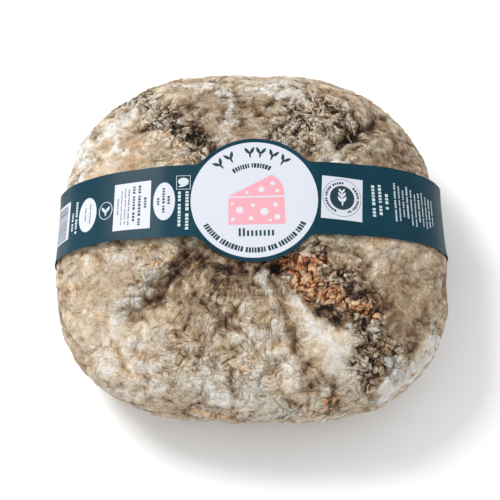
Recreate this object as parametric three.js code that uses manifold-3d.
// A small cloth-moulded cheese with a printed paper band, in millimetres, +Z up.
// The cheese stands on its flat base at z = 0, centred on the origin, front towards -Y.

import * as THREE from 'three';
import { mergeVertices } from 'three/addons/utils/BufferGeometryUtils.js';
import Module from 'manifold-3d';

const wasm = await Module();
wasm.setup();

// ---------- driving dimensions ----------

// Cheese body: a rounded-square cushion.
const WIDTH = 160;
const DEPTH = 157;
const HEIGHT = 62;
const CORNER_POWER = 2.9; // 2 is an ellipse, larger is squarer
const BULGE_HEIGHT = 28.5; // where the side is widest
const BASE_INSET = 15; // how far the base edge lies inside the widest line
const UNDER_POWER = 2.2; // roundness of the side below the widest line
const DOME_POWER = 2.2; // roundness of the top
const TOP_LEAN = 0.09; // the top falls this much towards the front
const SKEW = 0.01; // pulls one pair of corners in
const TRIANGULARITY = 0.011; // bulges every third of a turn

// Cloth folds: they run from the middle of the top out to the corners.
const FOLDS = [
  { angle: 38, swing: 8, depth: 4.0, width: 6.5 },
  { angle: 63, swing: -4, depth: 2.0, width: 8.0 },
  { angle: 134, swing: -8, depth: 3.2, width: 9.0 },
  { angle: 223, swing: 2, depth: 4.5, width: 9.0 },
  { angle: 305, swing: 18, depth: 4.5, width: 7.5 },
];
const FOLD_START = 0.22; // share of the radius where a fold is at full depth
const FOLD_END = 0.72; // share of the radius where it starts to get shallow again
const FOLD_EDGE_DEPTH = 0.35; // share of its depth left at the widest line
const FOLD_FADE_LOW = 14; // height where a fold has died out on the side
const FOLD_FADE_HIGH = 40; // height where it is at full depth
const PINCH_DEPTH = 5; // hollow in the middle of the top, where the cloth was gathered
const PINCH_RADIUS = 15;

// Paper band: one die-cut strip with a round medallion, closed under the cheese.
const BAND_WIDTH = 31;
const MEDALLION_DIAMETER = 53;
const MEDALLION_OFFSET = 1.3; // along the band, to the right of the middle
const BAND_THICKNESS = 0.35;
const BAND_GAP = 0.35; // clearance between the paper and the rind
const BAND_LEAN = 0.095; // radians, the medallion faces slightly forward
const BAND_CENTRE_Y = 0.3; // place of the band's middle line on the top
const BAND_RECESS = 0.2; // the paper under the cheese stays this far above the base plane
const RELIEF_SIDE_GAP = 1.2; // clearance beside the paper in its impression

// Fineness of the facets.
const STEPS_AROUND = 100;
const RINGS_BELOW = 8;
const RINGS_ABOVE = 28;
const STATION_LENGTH = 5;
const MEDALLION_STATION_LENGTH = 2;

// The paper lies in a shallow impression under the cheese.
const RELIEF_DEPTH = BAND_GAP + BAND_THICKNESS + BAND_RECESS;

// ---------- materials ----------

function skin(name, color, roughness) {
  return new THREE.MeshStandardMaterial({ name, color, roughness, metalness: 0 });
}

const rindMaterial = skin('rind', 0xb89b78, 0.85);
const paperMaterial = skin('band_paper', 0x123f4c, 0.45);

// ---------- cheese body ----------

function smoothStep(low, high, value) {
  const t = THREE.MathUtils.clamp((value - low) / (high - low), 0, 1);
  return t * t * (3 - 2 * t);
}

// Distance from the axis to the widest line of the side, at one angle.
function planRadius(angle) {
  const across = Math.abs(2 * Math.cos(angle) / WIDTH) ** CORNER_POWER;
  const along = Math.abs(2 * Math.sin(angle) / DEPTH) ** CORNER_POWER;
  const uneven = 1 - SKEW * Math.sin(2 * angle) - TRIANGULARITY * Math.sin(3 * angle);
  return uneven * (across + along) ** (-1 / CORNER_POWER);
}

// The side view, from the base edge (level -1) through the widest line (0) to the top (1).
// It gives the share of the plan radius, the inset in millimetres and the height.
function profile(level) {
  if (level < 0) {
    return { share: 1, inset: BASE_INSET * (-level) ** UNDER_POWER, z: BULGE_HEIGHT * (1 + level) };
  }
  const turn = level * Math.PI / 2;
  const share = Math.cos(turn) ** (2 / DOME_POWER);
  const rise = Math.sin(turn) ** (2 / DOME_POWER);
  return { share, inset: 0, z: BULGE_HEIGHT + (HEIGHT - BULGE_HEIGHT) * rise };
}

function plainPoint(level, angle) {
  const { share, inset, z } = profile(Math.min(level, 0.9999));
  const radius = planRadius(angle) * share - inset;
  const y = radius * Math.sin(angle);
  const lean = TOP_LEAN * y * Math.max(0, z - BULGE_HEIGHT) / (HEIGHT - BULGE_HEIGHT);
  return new THREE.Vector3(radius * Math.cos(angle), y, z + lean);
}

function outwardNormal(level, angle) {
  const small = 0.002;
  const upward = plainPoint(level + small, angle).sub(plainPoint(level - small, angle));
  const around = plainPoint(level, angle + small).sub(plainPoint(level, angle - small));
  return around.cross(upward).normalize();
}

// How deep the folds and the pinch press into the body at a point of the plain surface.
function pressedDepth(point, share) {
  const angle = Math.atan2(point.y, point.x);
  const radius = Math.hypot(point.x, point.y);
  let depth = PINCH_DEPTH * Math.exp(-((radius / PINCH_RADIUS) ** 2));
  const shallow = 1 - (1 - FOLD_EDGE_DEPTH) * smoothStep(FOLD_END, 1, share);
  const along = smoothStep(0, FOLD_START, share) * shallow;
  for (const fold of FOLDS) {
    const line = THREE.MathUtils.degToRad(fold.angle + fold.swing * (share - 0.6));
    if (Math.cos(angle - line) <= 0) continue;
    const aside = radius * Math.sin(angle - line) / fold.width;
    depth += fold.depth * Math.exp(-aside * aside) * along;
  }
  return depth * smoothStep(FOLD_FADE_LOW, FOLD_FADE_HIGH, point.z);
}

function bodyPoint(level, angle) {
  const point = plainPoint(level, angle);
  const inward = outwardNormal(level, angle).negate();
  return point.addScaledVector(inward, pressedDepth(point, profile(level).share));
}

function topPoint() {
  const point = new THREE.Vector3(0, 0, HEIGHT);
  point.z -= pressedDepth(point, 0);
  return point;
}

// Closed body: rings of points from the base edge to the top, a fan at each end.
function bodyGeometry() {
  const levels = [];
  for (let i = 0; i < RINGS_BELOW; i += 1) levels.push(i / RINGS_BELOW - 1);
  for (let i = 0; i < RINGS_ABOVE; i += 1) levels.push(i / RINGS_ABOVE);

  const points = [];
  for (const level of levels) {
    for (let i = 0; i < STEPS_AROUND; i += 1) {
      points.push(bodyPoint(level, 2 * Math.PI * i / STEPS_AROUND));
    }
  }
  const faces = gridFaces(levels.length, STEPS_AROUND, false);
  const under = points.push(new THREE.Vector3(0, 0, 0)) - 1;
  const top = points.push(topPoint()) - 1;
  const last = (levels.length - 1) * STEPS_AROUND;
  for (let i = 0; i < STEPS_AROUND; i += 1) {
    const next = (i + 1) % STEPS_AROUND;
    faces.push([under, next, i], [top, last + i, last + next]);
  }
  return geometryFrom(points, faces);
}

// Triangles between successive rings of equal size; a looped grid also joins last to first.
function gridFaces(rings, around, looped) {
  const faces = [];
  for (let ring = 0; ring < (looped ? rings : rings - 1); ring += 1) {
    const above = (ring + 1) % rings;
    for (let i = 0; i < around; i += 1) {
      const next = (i + 1) % around;
      const [a, b] = [ring * around + i, ring * around + next];
      const [c, d] = [above * around + next, above * around + i];
      faces.push([a, b, c], [a, c, d]);
    }
  }
  return faces;
}

function geometryFrom(points, faces) {
  const geometry = new THREE.BufferGeometry();
  const positions = points.flatMap((point) => point.toArray());
  geometry.setAttribute('position', new THREE.Float32BufferAttribute(positions, 3));
  geometry.setIndex(faces.flat());
  geometry.computeVertexNormals();
  return geometry;
}

// ---------- paper band: its frame ----------

// The strip's cross direction tilts with height: level under the base, leaning on the top.
function bandTilt(height) {
  const share = height / HEIGHT;
  return BAND_LEAN * (2 * share - share * share);
}

// A taut strip that leans on the top drifts back as it goes down the sides.
function bandMiddleY(height) {
  const share = height / HEIGHT;
  return BAND_CENTRE_Y + BAND_LEAN * HEIGHT * (2 / 3 - share ** 2 + share ** 3 / 3);
}

function bandPoint(x, height, across) {
  const tilt = bandTilt(height);
  return new THREE.Vector3(
    x,
    bandMiddleY(height) + across * Math.cos(tilt),
    height + across * Math.sin(tilt),
  );
}

// The reverse: a point of space in the strip's own coordinates.
function toBand(point) {
  let height = point.z;
  let across = 0;
  for (let round = 0; round < 6; round += 1) {
    across = (point.y - bandMiddleY(height)) / Math.cos(bandTilt(height));
    height = point.z - across * Math.sin(bandTilt(height));
  }
  return { x: point.x, height, across };
}

// Half the paper's width: that of the strip, or more where the round medallion is.
function halfWidth(x, height) {
  const reach = height > BULGE_HEIGHT ? MEDALLION_DIAMETER / 2 : 0;
  const chord = Math.sqrt(Math.max(0, reach ** 2 - (x - MEDALLION_OFFSET) ** 2));
  return Math.max(BAND_WIDTH / 2, chord);
}

// ---------- paper band: its route round the cheese ----------

// Points of the cheese that lie under the paper, seen along the strip's cross direction.
function pointsUnderBand(bodyPositions) {
  const margin = Math.max(WIDTH, DEPTH) * Math.PI / STEPS_AROUND;
  const seen = [];
  const point = new THREE.Vector3();
  for (let i = 0; i < bodyPositions.count; i += 1) {
    const { x, height, across } = toBand(point.fromBufferAttribute(bodyPositions, i));
    if (Math.abs(across) < halfWidth(x, height) + margin) seen.push(new THREE.Vector2(x, height));
  }
  return seen;
}

function turn(a, b, c) {
  return (b.x - a.x) * (c.y - a.y) - (b.y - a.y) * (c.x - a.x);
}

// Convex outline of a set of points, anticlockwise: the route of a taut loop.
function tautLoop(points) {
  const sorted = [...points].sort((p, q) => p.x - q.x || p.y - q.y);
  const halfLoop = (list) => {
    const chain = [];
    for (const point of list) {
      while (chain.length > 1 && turn(chain.at(-2), chain.at(-1), point) <= 1e-6) chain.pop();
      chain.push(point);
    }
    return chain.slice(0, -1);
  };
  return [...halfLoop(sorted), ...halfLoop(sorted.reverse())];
}

// The part of a loop above a floor, with a straight side along the floor.
function raisedLoop(loop, floor) {
  return loop.flatMap((point, i) => {
    const next = loop[(i + 1) % loop.length];
    const kept = point.y > floor ? [point] : [];
    if ((point.y > floor) === (next.y > floor)) return kept;
    return [...kept, point.clone().lerp(next, (floor - point.y) / (next.y - point.y))];
  });
}

function outwardSide(from, to) {
  return new THREE.Vector2(to.y - from.y, from.x - to.x).normalize();
}

// Moves every side of a convex loop outwards by the same distance.
function grownLoop(loop, distance) {
  return loop.map((point, i) => {
    const before = outwardSide(loop.at(i - 1), point);
    const after = outwardSide(point, loop[(i + 1) % loop.length]);
    const bisector = before.clone().add(after).normalize();
    return point.clone().addScaledVector(bisector, distance / bisector.dot(before));
  });
}

// Stations along the loop, each a corner's number and a share of the side after it.
function stationsOn(loop) {
  return loop.flatMap((corner, index) => {
    const next = loop[(index + 1) % loop.length];
    const isWide = halfWidth(corner.x, corner.y) > BAND_WIDTH / 2
      || halfWidth(next.x, next.y) > BAND_WIDTH / 2;
    const step = isWide ? MEDALLION_STATION_LENGTH : STATION_LENGTH;
    const parts = Math.ceil(corner.distanceTo(next) / step);
    return Array.from({ length: parts }, (_, k) => ({ index, share: k / parts }));
  });
}

function placeOn(loop, { index, share }) {
  return loop[index].clone().lerp(loop[(index + 1) % loop.length], share);
}

// Closed paper loop: at each station a thin rectangle, inner face towards the cheese.
function bandGeometry(bodyPositions) {
  const taut = raisedLoop(tautLoop(pointsUnderBand(bodyPositions)), RELIEF_DEPTH);
  const inner = grownLoop(taut, BAND_GAP);
  const outer = grownLoop(taut, BAND_GAP + BAND_THICKNESS);
  const stations = stationsOn(inner);
  const points = stations.flatMap((station) => {
    const inside = placeOn(inner, station);
    const outside = placeOn(outer, station);
    const half = halfWidth(inside.x, inside.y);
    return [
      bandPoint(inside.x, inside.y, -half),
      bandPoint(outside.x, outside.y, -half),
      bandPoint(outside.x, outside.y, half),
      bandPoint(inside.x, inside.y, half),
    ];
  });
  return geometryFrom(points, gridFaces(stations.length, 4, true));
}

// ---------- impression of the band under the cheese ----------

function toSolid(geometry) {
  const bare = geometry.clone();
  bare.deleteAttribute('normal');
  bare.deleteAttribute('uv');
  const merged = mergeVertices(bare);
  return new wasm.Manifold(new wasm.Mesh({
    numProp: 3,
    vertProperties: merged.attributes.position.array,
    triVerts: new Uint32Array(merged.index.array),
  }));
}

function fromSolid(solid) {
  const mesh = solid.getMesh();
  const geometry = new THREE.BufferGeometry();
  geometry.setAttribute('position', new THREE.Float32BufferAttribute(mesh.vertProperties, 3));
  geometry.setIndex(new THREE.BufferAttribute(mesh.triVerts, 1));
  geometry.computeVertexNormals();
  return geometry;
}

function reliefGeometry() {
  const across = BAND_WIDTH + 2 * RELIEF_SIDE_GAP;
  const geometry = new THREE.BoxGeometry(2 * WIDTH, across, 2 * RELIEF_DEPTH);
  return geometry.translate(0, bandMiddleY(0), 0);
}

// ---------- assembly ----------

const group = new THREE.Group();

function addPiece(name, geometry, material) {
  const mesh = new THREE.Mesh(geometry, material);
  mesh.name = name;
  group.add(mesh);
}

const body = bodyGeometry();
const cheeseSolid = toSolid(body).subtract(toSolid(reliefGeometry()));
addPiece('cheese', fromSolid(cheeseSolid), rindMaterial);
addPiece('label_band', bandGeometry(body.attributes.position), paperMaterial);

export default group;
